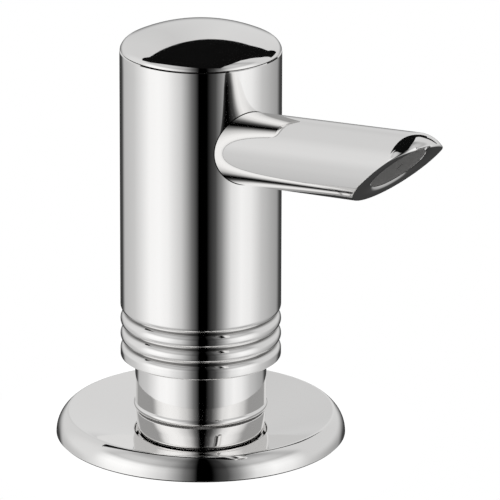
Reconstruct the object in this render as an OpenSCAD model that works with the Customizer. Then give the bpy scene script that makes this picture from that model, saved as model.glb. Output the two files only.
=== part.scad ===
// Deck-mounted soap dispenser: a pump head with a spout on a telescoping neck, a dished escutcheon on deck,
// and a threaded shank, nut and soap bottle below it. Millimetres, +Z up, the spout along +X.
// The origin is on the pump's axis at the deck's top face.

/* [Head] */
// Wall of the head's tube
head_wall = 1.3; // [1:0.1:1.5]
// Height of the head's lower edge above the deck, at rest
head_lip_z = 17.4; // [17:0.1:18.4]
// Height of the seam under the cap
head_seam_z = 83.2; // [81:0.2:88]
// Rise of the cap's top above the start of its shoulder
cap_rise = 5.8; // [5.2:0.1:6.6]
// Radius of the cap's rounded shoulder
cap_edge_r = 2.5; // [2:0.1:2.8]
// Height of one grip rib
rib_pitch = 3.3; // [3:0.1:3.6]
// Height of the lowest grip rib
rib_foot_h = 3.0; // [2.6:0.1:3.4]
// Depth of the grooves between the ribs
rib_depth = 0.6; // [0.4:0.05:0.7]
// Wall of the guide bush between head and neck
guide_wall = 1.65; // [1.2:0.05:2]

/* [Spout] */
// Outer diameter of the spout
spout_d = 15; // [14:0.2:15.8]
// Bore of the spout
spout_bore_d = 8.6; // [8:0.1:8.8]
// Height at which the spout's axis meets the pump's axis
spout_z = 63.4; // [62.6:0.2:64.6]
// Upward slope of the spout, in degrees
spout_rise = 10; // [6:1:12]
// Distance along the spout from the pump's axis to the middle of the mouth
spout_reach = 67; // [58:1:80]
// Angle between the mouth's normal and the spout's axis, in degrees
mouth_angle = 60.5; // [56:0.5:62]
// Distance from the middle of the mouth to the tip of the nose
nose_l = 8.8; // [8.6:0.1:9.2]
// Radius of the rounded nose
nose_r = 3.6; // [3.2:0.1:3.7]
// Depth of the outlet valve's face below the mouth
valve_recess = 0.4; // [0.2:0.1:0.8]
// Outer diameter of the feed tube in the spout
feed_d = 6; // [5.4:0.1:6.2]
// Bore of the feed tube
feed_bore_d = 4; // [3.4:0.1:4.4]

/* [Neck and escutcheon] */
// Wall of the neck sleeve
neck_wall = 1.4; // [1.2:0.1:1.5]
// Overhang of the neck's bead
bead_out = 0.35; // [0.2:0.05:0.5]
// Height of the bead
bead_h = 1.5; // [1.2:0.1:1.8]
// Height of the base collar's top
collar_top_z = 5.6; // [5.2:0.1:6]
// Step from the neck in to the base collar, on the radius
collar_step = 0.15; // [0.1:0.05:0.3]
// Wall of the base collar
collar_wall = 1.25; // [1.1:0.05:1.5]
// Draw-in of the collar's lower edge, on the radius
collar_draw = 0.5; // [0.2:0.1:0.7]
// Thickness of the gasket between neck and collar
seat_gasket_t = 0.5; // [0.4:0.1:0.8]
// Outer diameter of the escutcheon
flange_d = 60; // [58:0.5:64]
// Height of the escutcheon
flange_h = 5.05; // [4.8:0.05:5.3]
// Fall of the escutcheon's dish towards the middle, in degrees
dish_a = 16.5; // [14:0.5:17]
// Reach of the rounding round the dish's hole, on the radius
dish_lip = 0.3; // [0.2:0.05:0.5]
// Depth of the dish's lower edge below the deck's top face
dish_drop = 1.4; // [1.2:0.1:1.6]
// Wall of the dish, measured upright
dish_wall = 1.2; // [1.1:0.05:1.3]

/* [Pump] */
// Travel of the head
stroke = 8.5; // [6:0.5:8.5]
// Outer diameter of the stem
stem_d = 8; // [7.6:0.1:8.2]
// Bore of the stem
stem_bore_d = 3.2; // [2.8:0.1:3.4]
// Bore of the pump cylinder
cyl_bore_d = 13; // [12.6:0.1:13.2]
// Wall of the pump cylinder
cyl_wall = 1.2; // [1:0.1:1.5]
// Depth of the cylinder's lower end below the deck's top face
cyl_depth = 38; // [36:0.5:42]
// Diameter of the inlet ball
inlet_ball_d = 6; // [5.6:0.1:6.4]
// Diameter of the outlet ball
outlet_ball_d = 4.2; // [4:0.1:4.4]
// Wire of the return spring
spring_wire_d = 1; // [0.8:0.05:1.1]
// Outer diameter of the return spring
spring_d = 10.2; // [9.4:0.1:10.6]
// Number of curls in the return spring
spring_curls = 6; // [4:1:7]

/* [Below the deck] */
// Thickness of the deck that it is shown clamped to
deck_t = 30; // [12:1:36]
// Outer diameter of the threaded shank, on which collar, neck and head are built up
shank_d = 24; // [23:0.1:25]
// Wall of the threaded shank, over the thread
shank_wall = 1.8; // [1.6:0.1:2]
// Depth of the shank's lower end below the deck's top face
shank_depth = 68; // [66:1:76]
// Pitch of the shank's thread
thread_pitch = 2; // [1.5:0.25:3]
// Depth of the shank's thread
thread_depth = 0.7; // [0.4:0.1:0.9]
// Outer diameter of the deck washer
washer_d = 48; // [44:1:54]
// Thickness of the deck washer
washer_t = 3; // [2:0.5:4]
// Length of the mounting nut
nut_h = 11; // [9:0.5:11.5]
// Span over the mounting nut's wings
nut_span = 60; // [52:1:70]
// Outer diameter of the bottle
bottle_d = 66; // [60:1:80]
// Length of the bottle below its neck
bottle_h = 134; // [110:2:170]
// Wall of the bottle
bottle_wall = 1.4; // [1:0.1:1.8]
// Gap between the dip tube's end and the bottle's floor
dip_gap = 6; // [4:1:12]

/* [Fits] */
// Radial gap of a running fit
run_gap = 0.05; // [0.03:0.01:0.08]
// Gap where two pieces stay clear of each other
clear_gap = 0.3; // [0.2:0.05:0.4]
// Gap at the spout's hole in the head
spout_gap = 0.12; // [0.05:0.01:0.2]

/* [Hidden] */
$fn = 96;

chrome = [0.83, 0.84, 0.85];
eps = 0.01;
reach_all = 200;

// Radii from the shank outwards: collar, neck and head
thread_relief = 0.2;
shank_r = shank_d / 2;
shank_bore_r = shank_r - shank_wall;
spigot_r = shank_r + thread_relief;
collar_r = spigot_r + collar_wall;
neck_r = collar_r + collar_step;
neck_bore_r = neck_r - neck_wall;
head_bore_r = neck_r + run_gap + guide_wall;
head_r = head_bore_r + head_wall;
head_d = 2 * head_r;

// Head: levels, ribs and cap
lip_round = 0.35;
groove_1_z = head_lip_z + rib_foot_h + 2 * rib_pitch;
groove_2_z = groove_1_z - rib_pitch;
groove_3_z = groove_2_z - rib_pitch;
shoulder_drop = 0.5;
shoulder_z = head_seam_z - shoulder_drop;
seam_v = 0.3;
seam_v_low = 0.12;
edge_c_r = head_r - cap_edge_r;
dome_r = (pow(cap_rise, 2) + pow(edge_c_r, 2) - pow(cap_edge_r, 2)) / (2 * (cap_rise - cap_edge_r));
dome_c_z = shoulder_z + cap_rise - dome_r;
dome_a = atan2(edge_c_r, shoulder_z - dome_c_z);
cap_spigot_h = 4;
cap_spigot_t = 2;
cap_roof_t = 1.5;
cap_gap = 0.1;
cap_ring_r = 0.45;
cap_ring_z = head_seam_z - cap_spigot_h / 2;

// Spout and hub: places along the spout's axis, from the pump's axis
spout_r = spout_d / 2;
spout_bore_r = spout_bore_d / 2;
spout_root = 5;
feed_root = 2;
nose_end = spout_reach + nose_l;
mouth_edge = 0.25;
valve_skin = 0.8;
valve_tail = 4;
valve_socket = 3;
slit_l = 2.4;
slit_w = 0.3;
valve_back = spout_reach - tan(mouth_angle) * spout_bore_r - valve_tail;

// Neck and base
bead_r = neck_r + bead_out;
bead_round = bead_h / 2;
gasket_top_z = collar_top_z + seat_gasket_t;
bead_top_z = gasket_top_z + bead_h;
collar_round = 0.4;
collar_foot_round = 0.5;
collar_draw_z = 3.6;
collar_bottom_z = 0.1;
flange_r = flange_d / 2;
flange_lift = 0.15;
flange_edge = 0.35;
crest_r = 0.8;
side_a = 51;
side_z = 0.53;
side_r = crest_r + (flange_h - crest_r - side_z) / sin(side_a);
side_c = [flange_r - side_r, side_z];
crest_c = side_c + (side_r - crest_r) * [cos(side_a), sin(side_a)];
crest_in = crest_c + crest_r * [-sin(dish_a), cos(dish_a)];
foot_out = 1.25;
foot_t = 1.4;
seat_t = 1.2;
seat_z = -dish_drop - foot_t;
foot_r = spigot_r + foot_out;
dish_foot_r = foot_r + clear_gap;
dish_r = dish_foot_r + dish_lip;
dish_z = crest_in[1] - (crest_in[0] - dish_r) * tan(dish_a);
throat_a = 75;
throat_r = dish_lip / (sin(throat_a) - sin(dish_a));
throat_c = [dish_r, dish_z] + throat_r * [sin(dish_a), -cos(dish_a)];
spigot_wall = 2.85;
dish_out_r = dish_foot_r + spigot_wall;
dish_low_z = dish_z - dish_wall + (dish_out_r - dish_r) * tan(dish_a);
gasket_h = 2.2;
gasket_in_r = dish_r + max(clear_gap, (gasket_h + dish_wall - dish_z) / tan(dish_a));
rim_wall = 2.2;
gasket_out_r = flange_r - rim_wall;

// Shank, closure and pump
spigot_step = 0.8;
collar_lip_h = 2.6;
collar_lip_gap = 0.6;
thread_runout = 4;
thread_lead = 2;
spigot_top_r = spigot_r - spigot_step;
spigot_step_z = collar_top_z - collar_lip_h;
shank_top_z = collar_top_z - collar_lip_gap;
ledge_r = shank_bore_r + clear_gap;
thread_from = seat_z - seat_t - thread_runout;
thread_n = floor((shank_depth + thread_from - thread_lead) / thread_pitch);
stem_r = stem_d / 2;
stem_bore_r = stem_bore_d / 2;
cyl_r = cyl_bore_d / 2;
cyl_out_r = cyl_r + cyl_wall;
wiper_t = 2;
cyl_top_z = 3;
wiper_top_z = cyl_top_z + wiper_t;
closure_skirt = 5;
closure_flange_t = 3;
closure_gap = 0.2;
closure_flange_r = neck_bore_r - closure_gap;
piston_gap = 0.3;
piston_h = 9.6;
piston_top_z = cyl_top_z - piston_gap;
piston_low_z = piston_top_z - piston_h;
piston_r = cyl_r - clear_gap;
seal_h = 2.6;
seal_up = 3;
seal_depth = 1.3;
seal_z = piston_low_z + seal_up;
seal_in_r = piston_r - seal_depth;
stem_seat = 5;
stem_low_z = piston_low_z + stem_seat;
hub_below = 13.4;
hub_above = 13.1;
hub_low_z = spout_z - hub_below;
hub_top_z = spout_z + hub_above;
stroke_gap = 2;
neck_top_z = hub_low_z - stroke - stroke_gap;
stem_grip = 8;
stem_top_z = hub_low_z + stem_grip;
ball_gap = 0.03;
ball_lift = 1.5;
ball_stop_gap = 0.25;
outlet_seat_drop = 0.5;
outlet_side_gap = 0.5;
outlet_seat_z = hub_low_z - outlet_seat_drop;
outlet_room_r = outlet_ball_d / 2 + outlet_side_gap;
outlet_ball_z = outlet_seat_z + sqrt(pow(outlet_ball_d / 2, 2) - pow(stem_bore_r, 2)) + ball_gap;
stem_cap_z = outlet_ball_z + outlet_ball_d / 2 + ball_lift + ball_stop_gap;
stem_cap_bore_r = 1.2;
stem_ring_r = 0.4;
stem_groove_w = 1.2;
stem_groove_r = stem_r - 2 * stem_ring_r;
stem_ring_z = hub_low_z + stem_grip / 2;
guide_h = 7.5;
guide_up = 0.6;
guide_low_z = head_lip_z + guide_up;
foot_flange_t = 2;
inlet_bore_r = 2;
spigot_len = 12;
dip_in_r = 3;
dip_wall = 1;
inlet_floor = 2;
inlet_side_gap = 0.8;
inlet_seat_z = -cyl_depth + inlet_floor;
inlet_ball_z = inlet_seat_z + sqrt(pow(inlet_ball_d / 2, 2) - pow(inlet_bore_r, 2)) + ball_gap;
inlet_room_r = inlet_ball_d / 2 + inlet_side_gap;
cage_low_z = inlet_ball_z + inlet_ball_d / 2 + ball_lift + ball_stop_gap;
cage_t = 1.5;
cage_top_z = cage_low_z + cage_t;
cage_bore_r = 1.8;

// Return spring: one tube along a helix, from the cage to the piston
spring_r = (spring_d - spring_wire_d) / 2;
spring_gap = 0.05;
spring_low = cage_top_z + spring_wire_d / 2 + spring_gap;
spring_high = piston_low_z - spring_wire_d / 2 - spring_gap;
spring_rings = 8;
spring_sides = 6;
spring_n = spring_curls * spring_rings;
spring_lean = atan2(spring_high - spring_low, 360 * spring_curls / 180 * PI * spring_r);

// Deck hardware and bottle
washer_in_r = shank_r + clear_gap;
ring_t = 1.2;
ring_in = 1;
ring_r = washer_d / 2 - ring_in;
nut_top_z = -deck_t - washer_t - ring_t;
nut_flange_t = 2;
nut_wall = 4.5;
nut_flange_w = 4.5;
nut_r = shank_r + nut_wall;
nut_flange_r = nut_r + nut_flange_w;
wing_t = 5;
wing_sink = 2;
bottle_neck_h = 14;
bottle_neck_wall = 2.4;
bottle_neck_r = shank_r + bottle_neck_wall;
bottle_gasket_t = 1;
bottle_ledge_z = -shank_depth - bottle_gasket_t;
bottle_ledge_in = 0.4;
bottle_throat_h = 7;
bottle_mouth_r = shank_bore_r - bottle_ledge_in;
bottle_top_z = bottle_ledge_z - bottle_throat_h;
bottle_low_z = bottle_top_z - bottle_h;
bottle_r = bottle_d / 2;
shoulder_r = 14;
base_r = 6;
dip_low_z = bottle_low_z + bottle_wall + dip_gap;
dip_slant = 35;

// A ring of rectangular section
module ring(r_out, r_in, z_low, z_high) {
    translate([0, 0, z_low]) difference() {
        cylinder(r = r_out, h = z_high - z_low);
        translate([0, 0, -eps]) cylinder(r = r_in, h = z_high - z_low + 2 * eps);
    }
}

// A band of a profile, between two radii and two heights
module band(r_in, r_out, z_low, z_high) {
    translate([r_in, z_low]) square([r_out - r_in, z_high - z_low]);
}

// Puts its children on the spout's axis, with that axis as +Z and the upper side towards -X
module on_spout() {
    translate([0, 0, spout_z]) rotate([0, 90 - spout_rise, 0]) children();
}

// All that lies beyond the mouth's plane, moved out along its normal
module beyond_mouth(out) {
    translate([0, 0, spout_reach]) rotate([0, mouth_angle, 0])
        translate([-reach_all / 2, -reach_all / 2, out]) cube(reach_all);
}

// The bulged outside of one grip rib
module rib_bulge(z_low, h) {
    bulge_r = (pow(h / 2, 2) + pow(rib_depth, 2)) / (2 * rib_depth);
    intersection() {
        translate([head_r - bulge_r, z_low + h / 2]) circle(bulge_r);
        band(head_bore_r, head_r + 1, z_low, z_low + h);
    }
}

// Outline of the head's upper end: the tube, the rounded shoulder and the dome, as one smooth curve
module head_top_outline() {
    band(0, head_r, groove_1_z + rib_pitch / 2, shoulder_z);
    translate([edge_c_r, shoulder_z]) circle(cap_edge_r);
    intersection() {
        translate([0, dome_c_z]) circle(dome_r, $fn = 360);
        polygon([[0, shoulder_z - eps], [edge_c_r, shoulder_z - eps],
            [edge_c_r + cap_edge_r * sin(dome_a), shoulder_z + cap_edge_r * cos(dome_a)],
            [edge_c_r + 2 * cap_edge_r * sin(dome_a), shoulder_z + 2 * cap_edge_r * cos(dome_a)],
            [edge_c_r, shoulder_z + 2 * cap_rise], [0, shoulder_z + 2 * cap_rise]]);
    }
}

// Domed cap with a spigot that plugs into the head's tube
module head_cap() {
    color(chrome) rotate_extrude() difference() {
        union() {
            difference() {
                intersection() {
                    head_top_outline();
                    band(0, head_r + 1, head_seam_z, head_seam_z + 2 * cap_rise);
                }
                polygon([[head_r - seam_v, head_seam_z - eps], [head_r + 1, head_seam_z - eps],
                    [head_r + 1, head_seam_z + 1 + seam_v]]);
            }
            band(head_bore_r - cap_spigot_t, head_bore_r - cap_gap, head_seam_z - cap_spigot_h,
                head_seam_z + cap_roof_t);
        }
        band(-1, head_bore_r - cap_spigot_t, head_seam_z - cap_spigot_h - 1, head_seam_z + cap_roof_t);
        band(head_bore_r - 2 * cap_ring_r, head_r, cap_ring_z - cap_ring_r - cap_gap,
            cap_ring_z + cap_ring_r + cap_gap);
    }
}

// Ring in the spigot's groove that grips the head's bore
module cap_seal() {
    color([0.1, 0.1, 0.1]) rotate_extrude()
        translate([head_bore_r - cap_ring_r, cap_ring_z]) circle(cap_ring_r, $fn = 32);
}

// Chromed tube of the head, with three grip ribs at its lower end and the spout's hole
module head_shell() {
    color(chrome) difference() {
        rotate_extrude() difference() {
            union() {
                intersection() {
                    head_top_outline();
                    band(0, head_r + 1, groove_1_z + rib_pitch / 2, head_seam_z);
                }
                intersection() {
                    rib_bulge(groove_1_z, rib_pitch);
                    band(0, head_r + 1, groove_1_z, groove_1_z + rib_pitch / 2 + eps);
                }
                rib_bulge(groove_2_z, rib_pitch);
                rib_bulge(groove_3_z, rib_pitch);
                intersection() {
                    rib_bulge(head_lip_z, rib_foot_h);
                    band(0, head_r + 1, head_lip_z + rib_foot_h / 2, groove_3_z);
                }
                band(0, head_r, head_lip_z + lip_round, head_lip_z + rib_foot_h / 2);
                band(0, head_r - lip_round, head_lip_z, head_lip_z + lip_round);
                translate([head_r - lip_round, head_lip_z + lip_round]) circle(lip_round, $fn = 32);
                band(0, head_r - rib_depth, head_lip_z + lip_round, groove_1_z + rib_pitch / 2);
            }
            band(-1, head_bore_r, head_lip_z - 1, head_seam_z + 1);
            polygon([[head_r - seam_v_low - 0.1, head_seam_z + eps], [head_r + 1, head_seam_z + eps],
                [head_r + 1, head_seam_z - 1.1 - seam_v_low]]);
        }
        on_spout() translate([0, 0, spout_root]) cylinder(r = spout_r + spout_gap, h = head_d);
    }
}

// Thick-walled spout with a rounded nose and an oblique mouth
module spout() {
    color(chrome) on_spout() difference() {
        rotate_extrude() {
            band(0, spout_r, spout_root, nose_end - nose_r);
            band(0, spout_r - nose_r, spout_root, nose_end);
            translate([spout_r - nose_r, nose_end - nose_r]) circle(nose_r);
        }
        translate([0, 0, spout_root - 1]) cylinder(r = spout_bore_r, h = reach_all);
        beyond_mouth(0);
        intersection() {
            translate([0, 0, spout_root]) cylinder(r = spout_bore_r + mouth_edge, h = reach_all);
            beyond_mouth(-mouth_edge);
        }
    }
}

// Soft grey insert in the mouth: a socket for the feed tube, a channel and a thin slit face that stops drips
module outlet_valve() {
    color([0.42, 0.41, 0.41]) on_spout() difference() {
        translate([0, 0, valve_back]) cylinder(r = spout_bore_r, h = nose_end - valve_back);
        beyond_mouth(-valve_recess);
        translate([0, 0, valve_back - eps]) cylinder(r = feed_d / 2, h = valve_socket + eps);
        difference() {
            translate([0, 0, valve_back]) cylinder(r = feed_bore_d / 2, h = nose_end - valve_back);
            beyond_mouth(-valve_recess - valve_skin);
        }
        translate([0, 0, spout_reach]) rotate([0, mouth_angle, 0])
            translate([-slit_l / 2, -slit_w / 2, -valve_recess - valve_skin - 1])
                cube([slit_l, slit_w, valve_recess + valve_skin + 2]);
    }
}

// Feed tube from the hub to the outlet valve
module feed_tube() {
    color([0.9, 0.9, 0.88]) on_spout()
        ring(feed_d / 2, feed_bore_d / 2, feed_root, valve_back + valve_socket);
}

// Moulded hub in the head: takes the stem from below and the spout and its feed tube from the side
module actuator_hub() {
    color([0.85, 0.85, 0.83]) difference() {
        translate([0, 0, hub_low_z]) cylinder(r = head_bore_r, h = hub_top_z - hub_low_z);
        translate([0, 0, hub_low_z - 1]) cylinder(r = stem_r + run_gap, h = stem_top_z - hub_low_z + 1 + run_gap);
        translate([0, 0, stem_top_z]) cylinder(r = feed_bore_d / 2, h = spout_z - stem_top_z);
        on_spout() translate([0, 0, -feed_bore_d / 2]) cylinder(r = feed_bore_d / 2, h = feed_root + feed_bore_d);
        on_spout() translate([0, 0, feed_root]) cylinder(r = feed_d / 2, h = head_d);
        on_spout() translate([0, 0, spout_root]) cylinder(r = spout_r, h = head_d);
    }
}

// Plain bush in the head's lower end that slides on the neck
module guide_bush() {
    color([0.9, 0.9, 0.88]) ring(head_bore_r, neck_r + run_gap, guide_low_z, guide_low_z + guide_h);
}

// Hollow stem with the outlet ball's room in its upper end and a groove for its seal
module stem() {
    color([0.92, 0.92, 0.9]) rotate_extrude() difference() {
        band(stem_bore_r, stem_r, stem_low_z, stem_top_z);
        band(0, outlet_room_r, outlet_seat_z, stem_top_z + 1);
        band(stem_groove_r, stem_r + 1, stem_ring_z - stem_groove_w / 2, stem_ring_z + stem_groove_w / 2);
    }
}

// Plug in the stem's upper end that stops the outlet ball
module stem_cap() {
    color([0.8, 0.8, 0.78]) ring(outlet_room_r, stem_cap_bore_r, stem_cap_z, stem_top_z);
}

// Ring in the stem's groove
module stem_seal() {
    color([0.1, 0.1, 0.1]) rotate_extrude()
        translate([stem_r - stem_ring_r + run_gap / 2, stem_ring_z]) circle(stem_ring_r, $fn = 32);
}

// Steel ball on the stem's inner seat
module outlet_ball() {
    color([0.7, 0.7, 0.72]) translate([0, 0, outlet_ball_z]) sphere(outlet_ball_d / 2);
}

// Piston at the stem's lower end, open through its middle
module piston() {
    color([0.88, 0.88, 0.86]) rotate_extrude() difference() {
        band(stem_bore_r, piston_r, piston_low_z, piston_top_z);
        band(0, stem_r, stem_low_z, piston_top_z + 1);
        band(seal_in_r, piston_r + 1, seal_z, seal_z + seal_h);
    }
}

// Lip seal in the piston's groove, which runs in the cylinder
module piston_seal() {
    lip_r = cyl_r - run_gap;
    color([0.15, 0.15, 0.15]) rotate_extrude()
        polygon([[seal_in_r, seal_z], [lip_r, seal_z], [lip_r, seal_z + 0.8], [lip_r - 0.6, seal_z + 1.3],
            [lip_r, seal_z + 1.8], [lip_r, seal_z + seal_h], [seal_in_r, seal_z + seal_h]]);
}

// Points of the spring's centre line, and of the rings round it
function spring_turn(i) = 360 * i / spring_rings;
function spring_rise(i) = spring_low + (spring_high - spring_low) * i / spring_n;
function spring_at(i) = [spring_r * cos(spring_turn(i)), spring_r * sin(spring_turn(i)), spring_rise(i)];
function spring_out(i) = [cos(spring_turn(i)), sin(spring_turn(i)), 0];
function spring_up(i) = [sin(spring_turn(i)) * sin(spring_lean), -cos(spring_turn(i)) * sin(spring_lean),
    cos(spring_lean)];
function spring_point(i, a) = spring_at(i) + spring_wire_d / 2 * (cos(a) * spring_out(i) + sin(a) * spring_up(i));
spring_least = min([for (i = [0 : spring_n - spring_rings]) for (j = [i + spring_rings - 1 : spring_n])
    norm(spring_at(i) - spring_at(j))]) - spring_wire_d;

// Return spring between the ball cage and the piston
module return_spring() {
    points = [for (i = [0 : spring_n]) for (k = [0 : spring_sides - 1]) spring_point(i, 360 * k / spring_sides)];
    walls = [for (i = [0 : spring_n - 1]) for (k = [0 : spring_sides - 1])
        let (a = i * spring_sides + k, b = i * spring_sides + (k + 1) % spring_sides)
            each [[a, a + spring_sides, b + spring_sides], [a, b + spring_sides, b]]];
    first = [for (k = [1 : spring_sides - 2]) [0, k, k + 1]];
    base = spring_n * spring_sides;
    last = [for (k = [1 : spring_sides - 2]) [base, base + k + 1, base + k]];
    echo(spring_least_gap = spring_least);
    color([0.75, 0.76, 0.78]) polyhedron(points, concat(walls, first, last), convexity = 8);
}

// Steel ball on the inlet seat
module inlet_ball() {
    color([0.7, 0.7, 0.72]) translate([0, 0, inlet_ball_z]) sphere(inlet_ball_d / 2);
}

// Disc that stops the inlet ball and carries the spring
module ball_cage() {
    color([0.8, 0.8, 0.78]) ring(cyl_r, cage_bore_r, cage_low_z, cage_top_z);
}

// Foot of the cylinder: the inlet ball's room and seat, and the dip tube's spigot
module pump_foot() {
    color([0.88, 0.88, 0.86]) rotate_extrude() difference() {
        union() {
            band(inlet_bore_r, cyl_r, -cyl_depth, cage_low_z);
            band(inlet_bore_r, cyl_out_r, -cyl_depth - foot_flange_t, -cyl_depth);
            band(inlet_bore_r, dip_in_r, -cyl_depth - foot_flange_t - spigot_len, -cyl_depth);
        }
        band(0, inlet_room_r, inlet_seat_z, cage_low_z + 1);
    }
}

// Pump cylinder
module pump_cylinder() {
    color([0.93, 0.93, 0.92]) ring(cyl_out_r, cyl_r, -cyl_depth, cyl_top_z);
}

// Closure: screws into the shank, presses the neck sleeve down, and holds the cylinder and the stem's wiper
module pump_closure() {
    color([0.85, 0.85, 0.83]) rotate_extrude() difference() {
        union() {
            band(stem_r + run_gap, shank_bore_r, -closure_skirt, bead_top_z);
            band(stem_r + run_gap, closure_flange_r, bead_top_z, bead_top_z + closure_flange_t);
        }
        band(0, cyl_out_r, -closure_skirt - 1, cyl_top_z);
        band(0, cyl_r, cyl_top_z - 1, wiper_top_z);
    }
}

// Wiper between the cylinder's top and the closure
module stem_wiper() {
    color([0.15, 0.15, 0.15]) ring(cyl_r, stem_r + run_gap, cyl_top_z, wiper_top_z);
}

// Chromed neck with a bead at its lower end and a ledge inside for the closure
module neck_sleeve() {
    color(chrome) rotate_extrude() {
        band(neck_bore_r, neck_r, gasket_top_z + bead_round, neck_top_z);
        band(ledge_r, bead_r - bead_round, gasket_top_z, bead_top_z);
        translate([bead_r - bead_round, gasket_top_z + bead_round]) circle(bead_round, $fn = 48);
    }
}

// Thin gasket between the neck and the base collar
module seat_gasket() {
    color([0.3, 0.3, 0.3]) ring(collar_r - clear_gap, ledge_r, collar_top_z, gasket_top_z);
}

// Chromed collar on the shank's upper end, drawn in towards its lower edge
module base_collar() {
    foot_c = [collar_r - collar_draw - collar_foot_round, collar_bottom_z + collar_foot_round];
    top_c = [collar_r - collar_round, collar_top_z - collar_round];
    color(chrome) rotate_extrude() difference() {
        union() {
            polygon([[0, foot_c[1]], [collar_r - collar_draw, foot_c[1]], [collar_r, collar_draw_z],
                [collar_r, top_c[1]], [0, top_c[1]]]);
            band(0, top_c[0], top_c[1], collar_top_z);
            translate(top_c) circle(collar_round, $fn = 32);
            band(0, foot_c[0], collar_bottom_z, foot_c[1]);
            translate(foot_c) circle(collar_foot_round, $fn = 32);
        }
        band(-1, spigot_r, collar_bottom_z - 1, spigot_step_z);
        band(-1, spigot_top_r, collar_bottom_z - 1, collar_top_z + 1);
    }
}

// Sliver between an arc and its chord, for a rounding that bulges out over the line from one point to another
module arc_over(centre, radius, from, to) {
    intersection() {
        translate(centre) circle(radius);
        polygon([from, 2 * from - centre, 2 * to - centre, to]);
    }
}

// Dished escutcheon with a bulged side and a rounded crest; its inner seat takes the shank's foot
module escutcheon() {
    bore_r = shank_r + 2 * clear_gap;
    side_low = side_c + [side_r, 0];
    side_top = side_c + side_r * [cos(side_a), sin(side_a)];
    roll = [dish_r, dish_z];
    throat_end = throat_c + throat_r * [-sin(throat_a), cos(throat_a)];
    color(chrome) rotate_extrude() {
        polygon([[bore_r, seat_z - seat_t], [dish_out_r, seat_z - seat_t], [dish_out_r, dish_low_z],
            [gasket_in_r, gasket_h], [gasket_out_r, gasket_h],
            [gasket_out_r, flange_lift], [flange_r - flange_edge, flange_lift],
            [flange_r, flange_lift + flange_edge], side_low, side_top, crest_in, roll, throat_end,
            [dish_foot_r, seat_z], [bore_r, seat_z]]);
        arc_over(side_c, side_r, side_low, side_top);
        arc_over(crest_c, crest_r, side_top, crest_in);
        arc_over(throat_c, throat_r, roll, throat_end);
    }
}

// Gasket under the escutcheon, which rests on the deck
module base_gasket() {
    color([0.2, 0.2, 0.2]) ring(gasket_out_r, gasket_in_r, 0, gasket_h);
}

// Threaded shank: a spigot for the collar, a foot that sits in the escutcheon, and the thread below
module shank() {
    color([0.78, 0.7, 0.45]) rotate_extrude() difference() {
        union() {
            band(shank_bore_r, spigot_top_r, spigot_step_z, shank_top_z);
            band(shank_bore_r, spigot_r, seat_z, spigot_step_z);
            band(shank_bore_r, foot_r, seat_z, -dish_drop);
            band(shank_bore_r, shank_r, -shank_depth, seat_z);
        }
        for (i = [0 : thread_n - 1]) translate([shank_r, thread_from - i * thread_pitch])
            polygon([[0.1, thread_pitch * 0.44], [0.1, -thread_pitch * 0.44], [0, -thread_pitch * 0.4],
                [-thread_depth, -thread_pitch * 0.06], [-thread_depth, thread_pitch * 0.06], [0, thread_pitch * 0.4]]);
    }
}

// Soft washer under the deck
module deck_washer() {
    color([0.15, 0.15, 0.15]) ring(washer_d / 2, washer_in_r, -deck_t - washer_t, -deck_t);
}

// Slip ring between the washer and the nut
module friction_ring() {
    color([0.8, 0.8, 0.82]) ring(ring_r, washer_in_r, nut_top_z, nut_top_z + ring_t);
}

// Hand nut with four wings
module mounting_nut() {
    color([0.25, 0.25, 0.27]) difference() {
        union() {
            translate([0, 0, nut_top_z - nut_h]) cylinder(r = nut_r, h = nut_h);
            translate([0, 0, nut_top_z - nut_flange_t]) cylinder(r = nut_flange_r, h = nut_flange_t);
            for (a = [0 : 90 : 270]) rotate([0, 0, a]) {
                translate([nut_r - wing_sink, -wing_t / 2, nut_top_z - nut_h])
                    cube([nut_span / 2 - wing_t / 2 - nut_r + wing_sink, wing_t, nut_h]);
                translate([nut_span / 2 - wing_t / 2, 0, nut_top_z - nut_h]) cylinder(d = wing_t, h = nut_h);
            }
        }
        translate([0, 0, nut_top_z - nut_h - 1]) cylinder(r = shank_r, h = nut_h + 2);
    }
}

// Outline of the bottle's body, drawn in by a wall
module bottle_body(wall) {
    band(0, bottle_r - shoulder_r, bottle_top_z - shoulder_r, bottle_top_z - wall);
    translate([bottle_r - shoulder_r, bottle_top_z - shoulder_r]) circle(shoulder_r - wall);
    band(0, bottle_r - wall, bottle_low_z + base_r, bottle_top_z - shoulder_r);
    translate([bottle_r - base_r, bottle_low_z + base_r]) circle(base_r - wall);
    band(0, bottle_r - base_r, bottle_low_z + wall, bottle_low_z + base_r);
}

// Blown bottle that screws onto the shank's lower end
module bottle() {
    color([0.93, 0.93, 0.92, 0.6]) rotate_extrude() difference() {
        union() {
            intersection() {
                bottle_body(0);
                band(0, bottle_d, bottle_low_z - 1, 0);
            }
            band(0, bottle_neck_r, bottle_top_z - 1, bottle_ledge_z + bottle_gasket_t + bottle_neck_h);
        }
        intersection() {
            bottle_body(bottle_wall);
            band(0, bottle_d, bottle_low_z - 1, 0);
        }
        band(-1, bottle_mouth_r, bottle_top_z - shoulder_r, bottle_ledge_z + 1);
        band(-1, shank_r, bottle_ledge_z, 0);
        band(-bottle_d, 0, bottle_low_z - 1, 0);
    }
}

// Gasket between the shank's lower end and the bottle's ledge
module bottle_gasket() {
    color([0.2, 0.2, 0.2]) ring(shank_r, shank_bore_r, bottle_ledge_z, -shank_depth);
}

// Dip tube, cut off at a slant near the bottle's floor
module dip_tube() {
    color([0.9, 0.92, 0.92]) difference() {
        ring(dip_in_r + dip_wall, dip_in_r, dip_low_z, -cyl_depth - foot_flange_t);
        translate([0, 0, dip_low_z]) rotate([0, dip_slant, 0])
            translate([-reach_all / 2, -reach_all / 2, -reach_all]) cube(reach_all);
    }
}

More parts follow.
